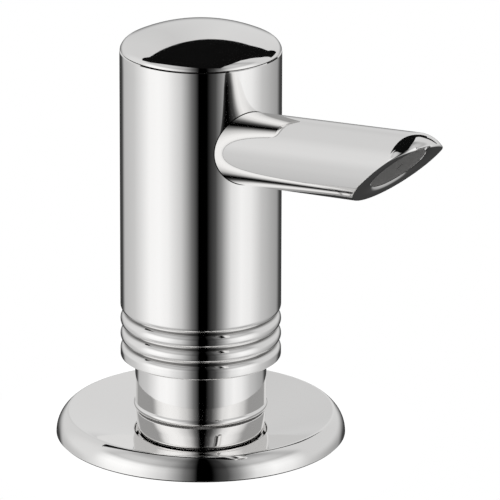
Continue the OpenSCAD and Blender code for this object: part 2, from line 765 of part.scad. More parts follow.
head_cap();
cap_seal();
head_shell();
spout();
outlet_valve();
feed_tube();
actuator_hub();
guide_bush();
stem();
stem_cap();
stem_seal();
outlet_ball();
piston();
piston_seal();
return_spring();
inlet_ball();
ball_cage();
pump_foot();
pump_cylinder();
pump_closure();
stem_wiper();
neck_sleeve();
seat_gasket();
base_collar();
escutcheon();
base_gasket();
shank();
deck_washer();
friction_ring();
mounting_nut();
bottle();
bottle_gasket();
dip_tube();
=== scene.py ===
# Built-in soap dispenser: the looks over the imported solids. Metres, deck's top face at z = 0, spout along +X.
import math

import bmesh
import bpy
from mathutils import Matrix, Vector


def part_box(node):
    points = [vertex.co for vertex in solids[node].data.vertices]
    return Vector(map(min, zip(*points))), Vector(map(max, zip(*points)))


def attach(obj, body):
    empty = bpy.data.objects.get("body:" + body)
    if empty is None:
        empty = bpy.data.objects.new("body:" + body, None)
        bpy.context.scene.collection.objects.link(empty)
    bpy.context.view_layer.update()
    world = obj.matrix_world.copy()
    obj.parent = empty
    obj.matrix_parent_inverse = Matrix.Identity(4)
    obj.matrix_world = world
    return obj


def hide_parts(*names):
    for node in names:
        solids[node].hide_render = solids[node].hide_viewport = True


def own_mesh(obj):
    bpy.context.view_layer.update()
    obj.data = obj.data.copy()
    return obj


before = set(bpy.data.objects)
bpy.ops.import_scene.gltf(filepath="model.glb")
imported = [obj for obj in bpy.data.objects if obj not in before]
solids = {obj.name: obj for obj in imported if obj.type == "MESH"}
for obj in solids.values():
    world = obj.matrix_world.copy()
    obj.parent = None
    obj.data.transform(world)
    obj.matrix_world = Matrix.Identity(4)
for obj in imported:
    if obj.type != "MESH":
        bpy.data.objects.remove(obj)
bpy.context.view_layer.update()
scene = bpy.context.scene
scene.view_settings.view_transform = "Standard"
mm = 0.001

# Camera, at the photograph's place: far back with a long lens, a little above the head, the spout coming
# towards it on the right. The frame is shifted so that the head stands left of the middle.
camera_turn = math.radians(53.64)
camera_rise = math.radians(18.85)
camera_far = 1289.6 * mm
camera_aim = 40.0 * mm
camera = bpy.data.cameras.new("camera")
camera.sensor_width = 36.0
camera.lens = 451.0
camera.shift_x = 0.0984
camera.clip_end = 20.0
camera_stand = bpy.data.objects.new("camera", camera)
scene.collection.objects.link(camera_stand)
camera_stand.location = (camera_far * math.sin(camera_turn) * math.cos(camera_rise),
                         -camera_far * math.cos(camera_turn) * math.cos(camera_rise),
                         camera_aim + camera_far * math.sin(camera_rise))
camera_stand.rotation_euler = (math.pi / 2 - camera_rise, 0.0, camera_turn)
scene.camera = camera_stand

# Studio round the object: a light room with a dark gap where the photographer stands and grey walls at the
# sides and behind. Polished metal shows it, a second reflection in flatter tones. To the camera it is white.
studio = bpy.data.worlds.new("studio")
scene.world = studio
studio.use_nodes = True
room = studio.node_tree
room.nodes.clear()


def grey(tone):
    return (tone, tone, tone, 1.0)


def room_node(kind, **settings):
    node = room.nodes.new(kind)
    for key, value in settings.items():
        setattr(node, key, value)
    return node


def room_ramp(source, stops):
    ramp = room_node("ShaderNodeValToRGB")
    marks = ramp.color_ramp.elements
    while len(marks) < len(stops):
        marks.new(0.5)
    for mark, (share, tone) in zip(marks, stops):
        mark.position = share
        mark.color = grey(tone)
    room.links.new(source, ramp.inputs["Fac"])
    return ramp.outputs["Color"]


def room_step(source, low, high):
    step = room_node("ShaderNodeMapRange", interpolation_type="SMOOTHSTEP")
    step.inputs["From Min"].default_value = low
    step.inputs["From Max"].default_value = high
    room.links.new(source, step.inputs["Value"])
    return step.outputs["Result"]


def room_mix(share, first, second):
    mix = room_node("ShaderNodeMix", data_type="RGBA")
    room.links.new(share, mix.inputs[0])
    for socket, value in ((mix.inputs[6], first), (mix.inputs[7], second)):
        if isinstance(value, tuple):
            socket.default_value = value
        else:
            room.links.new(value, socket)
    return mix.outputs[2]


def room_sum(kind, first, second):
    node = room_node("ShaderNodeMath", operation=kind)
    for socket, value in zip(node.inputs, (first, second)):
        if isinstance(value, float):
            socket.default_value = value
        else:
            room.links.new(value, socket)
    return node.outputs["Value"]


def room_share(source, span):
    share = room_node("ShaderNodeMath", operation="MULTIPLY_ADD")
    share.inputs[1].default_value = 1.0 / span
    share.inputs[2].default_value = 0.5
    room.links.new(source, share.inputs[0])
    return share.outputs["Value"]


place = room_node("ShaderNodeTexCoord")
turned_room = room_node("ShaderNodeMapping")
turned_room.inputs["Rotation"].default_value = (0.0, 0.0, -camera_turn)
room.links.new(place.outputs["Generated"], turned_room.inputs["Vector"])
way = room_node("ShaderNodeSeparateXYZ")
room.links.new(turned_room.outputs["Vector"], way.inputs["Vector"])
bearing = room_sum("ARCTAN2", way.outputs["X"], room_sum("MULTIPLY", way.outputs["Y"], -1.0))
# Tones of the walls, each at its bearing in degrees, the camera at 0.
wall_marks = [
    (-180, 0.03), (-150, 0.06), (-139, 0.5), (-110, 0.6), (-94, 0.77), (-78, 0.97), (-62, 1.0), (-48, 0.93),
    (-28, 0.62), (-13, 0.17), (-3, 0.0), (9, 0.0), (21, 0.07), (30, 0.27), (44, 0.78), (60, 0.95), (76, 0.87),
    (97, 0.57), (120, 0.42), (138, 0.34), (150, 0.06), (180, 0.03)]
walls = room_ramp(room_share(bearing, 2.0 * math.pi),
                  [(0.5 + turn / 360.0, tone) for turn, tone in wall_marks])
# Tones of the lamps by height, and of the wall behind the object by side, both from -1 to 1.
lamp_marks = [(-0.7, 0.5), (-0.45, 0.92), (-0.36, 1.0), (-0.22, 1.0), (0.2, 1.08), (0.42, 1.0), (0.58, 0.6),
              (0.66, 0.64), (0.78, 0.62), (0.9, 0.4)]
lamps = room_ramp(room_share(way.outputs["Z"], 2.0),
                  [(0.5 + 0.5 * high, tone) for high, tone in lamp_marks])
lit_walls = room_node("ShaderNodeVectorMath", operation="MULTIPLY")
room.links.new(walls, lit_walls.inputs[0])
room.links.new(lamps, lit_walls.inputs[1])
back_marks = [(-0.95, 0.75), (-0.86, 0.74), (-0.7, 0.67), (-0.3, 0.66), (-0.15, 0.62), (0.1, 0.71),
              (0.6, 0.66)]
back_wall = room_ramp(room_share(way.outputs["X"], 2.0),
                      [(0.5 + 0.5 * side, tone) for side, tone in back_marks])
round_walls = room_mix(room_step(way.outputs["Y"], -0.1, 0.15), lit_walls.outputs["Vector"],
                       room_mix(room_step(way.outputs["Z"], -0.28, 0.1), walls, back_wall))
seen = room_node("ShaderNodeLightPath")
side_back = room_step(room_sum("ABSOLUTE", way.outputs["X"], 0.0), 0.15, 0.25)
second = room_sum("GREATER_THAN", seen.outputs["Ray Depth"], 2.5)
third = room_sum("GREATER_THAN", seen.outputs["Ray Depth"], 3.5)
second_sides = room_mix(third, grey(0.34), grey(0.56))
second_back = room_mix(room_step(way.outputs["X"], -0.08, 0.06), grey(0.6), grey(0.76))
second_walls = room_mix(room_step(way.outputs["Y"], 0.0, 0.2), walls,
                        room_mix(side_back, second_back, second_sides))
whole_room = room_mix(second, round_walls, second_walls)
straight = room_sum("MAXIMUM", seen.outputs["Is Camera Ray"], seen.outputs["Is Transmission Ray"])
glow = room_node("ShaderNodeBackground")
room.links.new(room_mix(straight, whole_room, grey(1.0)), glow.inputs["Color"])
room_out = room_node("ShaderNodeOutputWorld")
room.links.new(glow.outputs["Background"], room_out.inputs["Surface"])

# Soft lamp over the camera's left shoulder, a large cloth panel. It gives the plastics and the bottle their
# shading and is kept out of the metal's reflections.
panel = bpy.data.lights.new("soft_panel", "AREA")
panel.shape = "DISK"
panel.size = 0.9
panel.energy = 9.0
panel_stand = bpy.data.objects.new("soft_panel", panel)
scene.collection.objects.link(panel_stand)
panel_stand.location = (0.2, -1.1, 1.0)
panel_stand.rotation_euler = (math.radians(47.0), 0.0, math.radians(10.0))
panel_stand.visible_glossy = False
panel_stand.visible_transmission = False

# Ceiling cloth: a black sheet hung over the object and a little behind it, cut away at its right front.
# Only a first reflection in the metal shows it: the dark lens on the dome, the shade on the spout's nose and
# the crease on the rim's crest. What lies lower than the head sees less of it.
cloth_high = 380.0
cloth_outline = [
    (-470, 105), (-369, -5), (-210, -72), (-126, -143), (-2, -256), (181, -293), (155, -152), (154, -55),
    (138, 115), (176, 162), (312, 185), (1006, 556), (3000, 1650), (1500, 1600), (386, 551), (201, 428),
    (153, 374), (102, 352), (-1, 306), (-117, 249), (-206, 186)]
head_high = 88.0
head_reach = 25.0
head_slant = 0.027
low_slant = 0.5
low_front = -115.0
low_right = 330.0
cloth_mesh = bpy.data.meshes.new("ceiling_cloth")
cloth_mesh.from_pydata([(x * mm, y * mm, 0.0) for x, y in cloth_outline], [], [range(len(cloth_outline))])
cloth = bpy.data.objects.new("ceiling_cloth", cloth_mesh)
scene.collection.objects.link(cloth)
cloth.location = (0.0, 0.0, cloth_high * mm)
cloth.rotation_euler = (0.0, 0.0, camera_turn)
cloth.visible_camera = False
cloth.visible_diffuse = False
cloth.visible_transmission = False
cloth.visible_shadow = False
cloth_dark = bpy.data.materials.new("cloth_dark")
cloth_dark.use_nodes = True
cloth_tree = cloth_dark.node_tree
cloth_tree.nodes.clear()


def cloth_sum(kind, first, second):
    node = cloth_tree.nodes.new("ShaderNodeMath")
    node.operation = kind
    for socket, value in zip(node.inputs, (first, second)):
        if isinstance(value, float):
            socket.default_value = value
        else:
            cloth_tree.links.new(value, socket)
    return node.outputs["Value"]


cloth_place = cloth_tree.nodes.new("ShaderNodeTexCoord")
cloth_axes = cloth_tree.nodes.new("ShaderNodeSeparateXYZ")
cloth_tree.links.new(cloth_place.outputs["Object"], cloth_axes.inputs["Vector"])
above_head = cloth_tree.nodes.new("ShaderNodeVectorMath")
above_head.operation = "DISTANCE"
above_head.inputs[1].default_value = (0.0, 0.0, (head_high - cloth_high) * mm)
cloth_tree.links.new(cloth_place.outputs["Object"], above_head.inputs[0])
cloth_path = cloth_tree.nodes.new("ShaderNodeLightPath")
farther = cloth_sum("SUBTRACT", cloth_path.outputs["Ray Length"], above_head.outputs["Value"])
head_side = cloth_sum("MULTIPLY", cloth_axes.outputs["X"], head_slant)
from_head = cloth_sum("LESS_THAN", cloth_sum("ADD", farther, head_side), head_reach * mm)
low_side = cloth_sum("MULTIPLY", cloth_axes.outputs["X"], low_slant)
slanted = cloth_sum("ADD", cloth_axes.outputs["Y"], low_side)
from_low = cloth_sum("MULTIPLY", cloth_sum("GREATER_THAN", slanted, low_front * mm),
                     cloth_sum("LESS_THAN", cloth_axes.outputs["X"], low_right * mm))
cloth_share = cloth_sum("MULTIPLY", cloth_sum("LESS_THAN", cloth_path.outputs["Ray Depth"], 1.5),
                        cloth_sum("MAXIMUM", from_head, from_low))
cloth_clear = cloth_tree.nodes.new("ShaderNodeBsdfTransparent")
cloth_black = cloth_tree.nodes.new("ShaderNodeEmission")
cloth_black.inputs["Color"].default_value = grey(0.004)
cloth_mix = cloth_tree.nodes.new("ShaderNodeMixShader")
cloth_out = cloth_tree.nodes.new("ShaderNodeOutputMaterial")
cloth_tree.links.new(cloth_share, cloth_mix.inputs["Fac"])
cloth_tree.links.new(cloth_clear.outputs["BSDF"], cloth_mix.inputs[1])
cloth_tree.links.new(cloth_black.outputs["Emission"], cloth_mix.inputs[2])
cloth_tree.links.new(cloth_mix.outputs["Shader"], cloth_out.inputs["Surface"])
cloth_mesh.materials.append(cloth_dark)

# Stage: a small ring of white worktop that the escutcheon sits on, and a pale floor under the bottle.
# Neither belongs to the object. Both look white to the camera and still take the object's shadow.
deck_hole = 19.0
deck_edge = 46.0
deck_thick = 2.0
deck_drop = 0.02
floor_low = -210.2
floor_edge = 320.0
floor_thick = 4.0
white_lift = 1.12


def sheet_ring(name, inner, outer, top, thick, sides=128):
    mesh = bpy.data.meshes.new(name)
    work = bmesh.new()
    rings = []
    for radius, height in ((inner, top), (outer, top), (outer, top - thick), (inner, top - thick)):
        rings.append([work.verts.new((radius * mm * math.cos(2 * math.pi * k / sides),
                                      radius * mm * math.sin(2 * math.pi * k / sides), height * mm))
                      for k in range(sides)])
    for a, b in zip(rings, rings[1:] + rings[:1]):
        for k in range(sides):
            n = (k + 1) % sides
            work.faces.new((a[k], a[n], b[n], b[k]))
    bmesh.ops.recalc_face_normals(work, faces=work.faces)
    work.to_mesh(mesh)
    work.free()
    ring = bpy.data.objects.new(name, mesh)
    scene.collection.objects.link(ring)
    return ring


def stage_white(name, shade):
    paint = bpy.data.materials.new(name)
    paint.use_nodes = True
    tree = paint.node_tree
    tree.nodes.clear()
    matt = tree.nodes.new("ShaderNodeBsdfDiffuse")
    matt.inputs["Color"].default_value = grey(0.9)
    plain = tree.nodes.new("ShaderNodeEmission")
    plain.inputs["Color"].default_value = grey(1.0)
    plain.inputs["Strength"].default_value = white_lift
    share = tree.nodes.new("ShaderNodeMath")
    share.operation = "MULTIPLY"
    share.inputs[1].default_value = shade
    path = tree.nodes.new("ShaderNodeLightPath")
    mix = tree.nodes.new("ShaderNodeMixShader")
    out = tree.nodes.new("ShaderNodeOutputMaterial")
    tree.links.new(path.outputs["Is Camera Ray"], share.inputs[0])
    tree.links.new(share.outputs["Value"], mix.inputs["Fac"])
    tree.links.new(matt.outputs["BSDF"], mix.inputs[1])
    tree.links.new(plain.outputs["Emission"], mix.inputs[2])
    tree.links.new(mix.outputs["Shader"], out.inputs["Surface"])
    return paint


worktop = sheet_ring("worktop", deck_hole, deck_edge, -deck_drop, deck_thick)
worktop.data.materials.append(stage_white("worktop_white", 0.9))
worktop.visible_glossy = False
ground = sheet_ring("ground", 0.5, floor_edge, floor_low, floor_thick)
ground.data.materials.append(stage_white("ground_white", 0.8))
ground.visible_glossy = False

# Escutcheon: spun and polished brass, chrome-plated. A dish with a broad rounded rim; its inner seat hangs in
# the deck's hole and is clamped by the shank's foot.
chrome_grey = (0.935, 0.928, 0.92, 1.0)


def chrome_plate(name, grain=0.012, rough=0.03):
    finish = bpy.data.materials.new(name)
    finish.use_nodes = True
    tree = finish.node_tree
    shader = tree.nodes["Principled BSDF"]
    shader.inputs["Base Color"].default_value = chrome_grey
    shader.inputs["Metallic"].default_value = 1.0
    spot = tree.nodes.new("ShaderNodeTexCoord")
    cloud = tree.nodes.new("ShaderNodeTexNoise")
    cloud.inputs["Scale"].default_value = 140.0
    cloud.inputs["Detail"].default_value = 3.0
    gloss = tree.nodes.new("ShaderNodeMapRange")
    gloss.inputs["To Min"].default_value = rough
    gloss.inputs["To Max"].default_value = rough + 2.0 * grain
    tree.links.new(spot.outputs["Object"], cloud.inputs["Vector"])
    tree.links.new(cloud.outputs["Fac"], gloss.inputs["Value"])
    tree.links.new(gloss.outputs["Result"], shader.inputs["Roughness"])
    return finish


def rounding(centre_r, centre_z, radius, start, end, steps=8):
    return [(centre_r + radius * math.cos(math.radians(start + (end - start) * k / steps)),
             centre_z + radius * math.sin(math.radians(start + (end - start) * k / steps)))
            for k in range(steps + 1)]


def turned(name, outline, sides=256, sharp=27.0):
    """A piece turned about the pump's axis from a closed outline of radius and height, in millimetres."""
    mesh = bpy.data.meshes.new(name)
    work = bmesh.new()
    rings = []
    for radius, height in outline:
        if radius < 1e-4:
            rings.append([work.verts.new((0.0, 0.0, height * mm))])
        else:
            rings.append([work.verts.new((radius * mm * math.cos(2 * math.pi * k / sides),
                                          radius * mm * math.sin(2 * math.pi * k / sides), height * mm))
                          for k in range(sides)])
    for a, b in zip(rings, rings[1:] + rings[:1]):
        for k in range(sides):
            n = (k + 1) % sides
            if len(a) == 1 and len(b) == 1:
                continue
            if len(a) == 1:
                work.faces.new((a[0], b[n], b[k]))
            elif len(b) == 1:
                work.faces.new((a[k], a[n], b[0]))
            else:
                work.faces.new((a[k], a[n], b[n], b[k]))
    bmesh.ops.recalc_face_normals(work, faces=work.faces)
    work.to_mesh(mesh)
    work.free()
    mesh.shade_smooth()
    mesh.set_sharp_from_angle(angle=math.radians(sharp))
    piece = bpy.data.objects.new(name, mesh)
    scene.collection.objects.link(piece)
    return piece


def put(piece, body, node, finish):
    piece.data.materials.clear()
    piece.data.materials.append(finish)
    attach(piece, body)
    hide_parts(node)


rim_out = 30.0
rim_top = 5.05
side_z = 0.53
side_lean = 51.0
crest_r = 0.8
dish_fall = 16.5
dish_end = 14.05
hole_r = 13.75
hole_fall = 75.0
plate = 1.2
under_z = 2.2
rim_bore = 27.8
rim_foot = 0.15
foot_ease = 0.35
seat_r = 16.6
seat_bore = 12.6
seat_low = -4.0
seat_z = -2.8


def sine(degrees):
    return math.sin(math.radians(degrees))


def cosine(degrees):
    return math.cos(math.radians(degrees))


side_r = crest_r + (rim_top - crest_r - side_z) / sine(side_lean)
crest_at = rim_out - side_r + (side_r - crest_r) * cosine(side_lean)
dish_start = crest_at - crest_r * sine(dish_fall)
dish_top = rim_top - crest_r * (1.0 - cosine(dish_fall))
dish_rise = math.tan(math.radians(dish_fall))
dish_z = dish_top - (dish_start - dish_end) * dish_rise
lip_r = (dish_end - hole_r) / (sine(hole_fall) - sine(dish_fall))
escutcheon_line = (
    [(seat_bore, seat_low), (seat_r, seat_low), (seat_r, dish_z - plate + (seat_r - dish_end) * dish_rise),
     (dish_end + (under_z + plate - dish_z) / dish_rise, under_z), (rim_bore, under_z), (rim_bore, rim_foot),
     (rim_out - foot_ease, rim_foot), (rim_out, rim_foot + foot_ease)]
    + rounding(rim_out - side_r, side_z, side_r, 0, side_lean, 28)
    + rounding(crest_at, rim_top - crest_r, crest_r, side_lean, 90 + dish_fall, 18)[1:]
    + [(dish_start + (dish_end - dish_start) * k / 10, dish_top + (dish_z - dish_top) * k / 10)
       for k in range(1, 10)]
    + rounding(dish_end + lip_r * sine(dish_fall), dish_z - lip_r * cosine(dish_fall), lip_r,
               90 + dish_fall, 90 + hole_fall, 10)
    + [(hole_r, seat_z), (seat_bore, seat_z)])
escutcheon = turned("escutcheon_plate", escutcheon_line, 360)
put(escutcheon, "base", "escutcheon", chrome_plate("escutcheon_chrome"))

# Shank: turned brass with a cut thread below and a plated foot flange that stands in the escutcheon's seat.
# Its spigot carries the base collar; nut and bottle run on the thread.
shank_bore = 10.2
shank_low = -68.0
shank_top = 5.0
thread_r = 12.0
root_r = 11.32
point_r = 11.0
point_long = 0.6
runout_low = -7.3
runout_top = -6.6
foot_r = 13.45
foot_top = -1.4
foot_round = 0.25
spigot_r = 12.2
spigot_tip_r = 11.4
spigot_step = 3.0
shank_line = (
    [(shank_bore, shank_low), (point_r, shank_low), (root_r, shank_low + point_long), (root_r, runout_low),
     (thread_r, runout_top), (thread_r, seat_z), (foot_r, seat_z)]
    + rounding(foot_r - foot_round, foot_top - foot_round, foot_round, 0, 90, 5)
    + [(spigot_r, foot_top), (spigot_r, spigot_step), (spigot_tip_r, spigot_step), (spigot_tip_r, shank_top),
       (shank_bore, shank_top)])
shank = turned("shank_tube", shank_line, 192)


def cut_brass(name):
    finish = bpy.data.materials.new(name)
    finish.use_nodes = True
    tree = finish.node_tree
    shader = tree.nodes["Principled BSDF"]
    shader.inputs["Metallic"].default_value = 1.0
    spot = tree.nodes.new("ShaderNodeTexCoord")
    lathe = tree.nodes.new("ShaderNodeMapping")
    lathe.inputs["Scale"].default_value = (60.0, 60.0, 2600.0)
    cloud = tree.nodes.new("ShaderNodeTexNoise")
    cloud.inputs["Scale"].default_value = 1.0
    cloud.inputs["Detail"].default_value = 4.0
    tone = tree.nodes.new("ShaderNodeValToRGB")
    tone.color_ramp.elements[0].position = 0.3
    tone.color_ramp.elements[0].color = (0.62, 0.44, 0.19, 1.0)
    tone.color_ramp.elements[1].position = 0.7
    tone.color_ramp.elements[1].color = (0.78, 0.6, 0.31, 1.0)
    gloss = tree.nodes.new("ShaderNodeMapRange")
    gloss.inputs["To Min"].default_value = 0.18
    gloss.inputs["To Max"].default_value = 0.38
    tree.links.new(spot.outputs["Object"], lathe.inputs["Vector"])
    tree.links.new(lathe.outputs["Vector"], cloud.inputs["Vector"])
    tree.links.new(cloud.outputs["Fac"], tone.inputs["Fac"])
    tree.links.new(tone.outputs["Color"], shader.inputs["Base Color"])
    tree.links.new(cloud.outputs["Fac"], gloss.inputs["Value"])
    tree.links.new(gloss.outputs["Result"], shader.inputs["Roughness"])
    return finish


brass = cut_brass("shank_brass")
put(shank, "base", "shank", brass)
shank.data.materials.append(chrome_plate("foot_chrome"))
plated_from = -3.0
for face in shank.data.polygons:
    if face.center.z > plated_from * mm:
        face.material_index = 1

thread_top = -7.4
thread_low = -66.6
thread_pitch = 2.0
thread_steps = 60
thread_sunk = root_r - 0.04
thread_foot = 0.86
thread_crest = 0.2
thread_mesh = bpy.data.meshes.new("shank_thread")
thread_work = bmesh.new()
thread_rows = []
turns = (thread_top - thread_low) / thread_pitch
count = int(turns * thread_steps)
for step in range(count + 1):
    angle = 2 * math.pi * step / thread_steps
    height = thread_low + thread_pitch * step / thread_steps
    fade = min(1.0, step / thread_steps, (count - step) / thread_steps)
    tall = thread_sunk + (thread_r - thread_sunk) * fade
    tooth = ((thread_sunk, -thread_foot), (tall, -thread_crest), (tall, thread_crest),
             (thread_sunk, thread_foot))
    thread_rows.append([thread_work.verts.new((r * mm * math.cos(angle), r * mm * math.sin(angle),
                                               (height + z) * mm)) for r, z in tooth])
for a, b in zip(thread_rows, thread_rows[1:]):
    for k in range(3):
        thread_work.faces.new((a[k], b[k], b[k + 1], a[k + 1]))
    thread_work.faces.new((a[3], b[3], b[0], a[0]))
thread_work.faces.new(thread_rows[0])
thread_work.faces.new(list(reversed(thread_rows[-1])))
bmesh.ops.recalc_face_normals(thread_work, faces=thread_work.faces)
thread_work.to_mesh(thread_mesh)
thread_work.free()
thread_mesh.shade_smooth()
thread_mesh.set_sharp_from_angle(angle=math.radians(25.0))
thread = bpy.data.objects.new("shank_thread", thread_mesh)
scene.collection.objects.link(thread)
thread.data.materials.append(brass)
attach(thread, "base")

# Base collar: a short chromed ring on the shank's spigot, drawn in at its lower edge.
# It carries the neck and hides the shank's end.
collar_r = 13.45
collar_low = 0.1
collar_top = 5.6
collar_straight = 3.7
collar_foot_r = 12.45
collar_foot_round = 0.5
collar_edge = 0.15
collar_line = (
    [(spigot_r, spigot_step), (spigot_r, collar_low)]
    + rounding(collar_foot_r, collar_low + collar_foot_round, collar_foot_round, -90, 9, 6)
    + [(collar_r, collar_straight)]
    + rounding(collar_r - collar_edge, collar_top - collar_edge, collar_edge, 0, 90, 4)
    + [(spigot_tip_r, collar_top), (spigot_tip_r, spigot_step)])
collar = turned("base_collar_ring", collar_line, 256)
put(collar, "base", "base_collar", chrome_plate("collar_chrome"))

# Neck sleeve: a chromed tube with a rolled bead at its foot. The head slides over it; the pump's closure
# holds it down by an inner ledge.
neck_r = 13.6
neck_bore = 12.2
neck_low = 6.1
neck_top = 39.5
neck_edge = 0.3
bead_round = 0.75
bead_r = 13.2
bead_top = 7.54
neck_middle = 20.0
ledge_r = 10.5
ledge_z = 7.6
neck_line = (
    [(ledge_r, neck_low)] + rounding(bead_r, neck_low + bead_round, bead_round, -90, 40, 12)
    + [(neck_r, bead_top), (neck_r, neck_middle), (neck_r, neck_top - neck_edge),
       (neck_r - neck_edge, neck_top), (neck_bore, neck_top), (neck_bore, ledge_z), (ledge_r, ledge_z)])
neck = turned("neck_tube", neck_line, 256)
put(neck, "base", "neck_sleeve", chrome_plate("neck_chrome"))

# Head: a drawn brass tube, chrome-plated and polished, with three rolled grip ribs at its lower end and a
# round hole for the spout. It slides and turns on the neck. Painted shade darkens the grooves' bottoms.
head_r = 16.6
head_bore = 15.3
lip_z = 17.4
seam_z = 83.2
seam_ease = 0.2
lip_round = 0.35
rib_h = 3.3
rib_foot = 3.0
rib_in = 0.95
rib_end = 0.95


def rib_side(low, tall, start, end, steps):
    line = []
    for k in range(steps + 1):
        share = start + (end - start) * k / steps
        line.append((head_r - rib_in * share * share, low + tall / 2 + share * tall / 2))
    return line


groove = [lip_z + rib_foot, lip_z + rib_foot + rib_h, lip_z + rib_foot + 2 * rib_h]
head_line = (
    [(head_bore, lip_z)] + rounding(head_r - lip_round, lip_z + lip_round, lip_round, -90, 0, 6)
    + rib_side(lip_z, rib_foot, 0.0, rib_end, 12)
    + rib_side(groove[0], rib_h, -rib_end, rib_end, 24)
    + rib_side(groove[1], rib_h, -rib_end, rib_end, 24)
    + rib_side(groove[2], rib_h, -rib_end, 0.0, 12)
    + [(head_r, z) for z in range(32, 82, 2)]
    + [(head_r, seam_z - 0.5), (head_r - 0.03, seam_z - 0.18), (head_r - seam_ease, seam_z),
       (head_bore, seam_z)])
head = turned("head_tube", head_line, 320)

spout_root = 63.4
spout_tilt = math.radians(10.0)
spout_r = 7.5
drill_r = spout_r + 0.12
drill_long = 40.0
drill_at = 25.0
drill = bpy.data.meshes.new("spout_drill")
drill_work = bmesh.new()
bmesh.ops.create_cone(drill_work, cap_ends=True, segments=192, radius1=drill_r * mm, radius2=drill_r * mm,
                      depth=drill_long * mm)
drill_work.to_mesh(drill)
drill_work.free()
drill_bit = bpy.data.objects.new("spout_drill", drill)
scene.collection.objects.link(drill_bit)
drill_bit.rotation_euler = (0.0, math.pi / 2 - spout_tilt, 0.0)
drill_bit.location = (drill_at * mm * math.cos(spout_tilt), 0.0,
                      (spout_root + drill_at * math.sin(spout_tilt)) * mm)
hole = head.modifiers.new("spout_hole", "BOOLEAN")
hole.operation = "DIFFERENCE"
hole.solver = "EXACT"
hole.object = drill_bit
bpy.context.view_layer.update()
drilled = bpy.data.meshes.new_from_object(head.evaluated_get(bpy.context.evaluated_depsgraph_get()))
head.modifiers.clear()
head.data = drilled
bpy.data.objects.remove(drill_bit)
drilled.shade_smooth()
drilled.set_sharp_from_angle(angle=math.radians(27.0))
head_chrome_groove_shade = chrome_plate("head_chrome_groove_shade")
head_tree = head_chrome_groove_shade.node_tree
# Painted shade: the chrome's colour turns dark grey along the bottom of each groove, where shade falls.
groove_painted_shade = (0.26, 0.255, 0.25, 1.0)
groove_shade_half = 0.5
groove_past = 1.0


def groove_sum(kind, first, second):
    node = head_tree.nodes.new("ShaderNodeMath")
    node.operation = kind
    for socket, value in zip(node.inputs, (first, second)):
        if isinstance(value, float):
            socket.default_value = value
        else:
            head_tree.links.new(value, socket)
    return node.outputs["Value"]


groove_spot = head_tree.nodes.new("ShaderNodeTexCoord")
groove_axes = head_tree.nodes.new("ShaderNodeSeparateXYZ")
head_tree.links.new(groove_spot.outputs["Object"], groove_axes.inputs["Vector"])
groove_up = groove_sum("SUBTRACT", groove_axes.outputs["Z"], groove[0] * mm)
groove_far = groove_sum("PINGPONG", groove_up, rib_h / 2 * mm)
groove_over = groove_sum("GREATER_THAN", groove_axes.outputs["Z"], (groove[2] + groove_past) * mm)
groove_under = groove_sum("LESS_THAN", groove_axes.outputs["Z"], (groove[0] - groove_past) * mm)
groove_shade_fade = head_tree.nodes.new("ShaderNodeMapRange")
groove_shade_fade.interpolation_type = "SMOOTHSTEP"
groove_shade_fade.inputs["From Max"].default_value = groove_shade_half * mm
head_tree.links.new(groove_far, groove_shade_fade.inputs["Value"])
off_grooves = groove_sum("MAXIMUM", groove_over, groove_under)
unshaded_share = groove_sum("MAXIMUM", groove_shade_fade.outputs["Result"], off_grooves)
groove_shade_mix = head_tree.nodes.new("ShaderNodeMix")
groove_shade_mix.data_type = "RGBA"
groove_shade_mix.inputs[6].default_value = groove_painted_shade
groove_shade_mix.inputs[7].default_value = chrome_grey
head_tree.links.new(unshaded_share, groove_shade_mix.inputs[0])
head_tree.links.new(groove_shade_mix.outputs[2], head_tree.nodes["Principled BSDF"].inputs["Base Color"])
put(head, "head", "head_shell", head_chrome_groove_shade)

# Head cap: a pressed and plated lid with a low dome and a rounded shoulder, plugged into the head's top.
# A fine bevel above the joint catches the light.
shoulder_r = 2.5
shoulder_z = 82.7
dome_r = 34.27
dome_high = 5.8
dome_z = shoulder_z + dome_high - dome_r
dome_lean = math.degrees(math.atan2(head_r - shoulder_r, shoulder_z - dome_z))
dome_turns = [dome_lean * (1 - k / 24) for k in range(1, 24)]
plug_r = 15.2
plug_bore = 13.3
plug_low = 79.2
cap_inside = 84.7
joint_gap = 0.05
bevel_in = 16.28
bevel_out = 16.5
bevel_high = 0.24
cap_line = (
    [(plug_bore, plug_low), (plug_r, plug_low), (plug_r, seam_z + joint_gap), (bevel_in, seam_z + joint_gap),
     (bevel_out, seam_z + bevel_high)]
    + rounding(head_r - shoulder_r, shoulder_z, shoulder_r, 17, 90 - dome_lean, 14)
    + [(dome_r * sine(turn), dome_z + dome_r * cosine(turn)) for turn in dome_turns]
    + [(0.0, dome_z + dome_r), (0.0, cap_inside), (plug_bore, cap_inside)])
cap = turned("head_lid", cap_line, 320)
put(cap, "head", "head_cap", chrome_plate("lid_chrome"))

# Spout: a thick-walled turned tube, chrome-plated, pushed into the hub through the head's hole. Its nose is
# rounded and then cut off at a slant, with the cut's edge eased.
spout_start = 5.0
spout_reach = 67.0
mouth_slope = math.tan(math.radians(60.5))
nose_end = 75.4
nose_r = 3.6
spout_bore = 4.3
ease = 0.35
bore_ease = 0.6
along = (math.cos(spout_tilt), 0.0, math.sin(spout_tilt))
upward = (-math.sin(spout_tilt), 0.0, math.cos(spout_tilt))


def spout_width(u):
    past = max(0.0, u - (nose_end - nose_r))
    return spout_r - nose_r + math.sqrt(max(0.0, nose_r * nose_r - past * past))


def spout_point(u, radius, turn):
    up = radius * math.cos(turn)
    side = radius * math.sin(turn)
    return (u * along[0] + up * upward[0], side, spout_root + u * along[2] + up * upward[2])


def mouth_at(radius, turn):
    return spout_reach + mouth_slope * radius * math.cos(turn)


def mouth_place(turn):
    low = 0.0
    high = nose_end
    for _ in range(60):
        mid = (low + high) / 2
        if mid < mouth_at(spout_width(mid), turn):
            low = mid
        else:
            high = mid
    return low


def between(a, b, share):
    return tuple(x + (y - x) * share for x, y in zip(a, b))


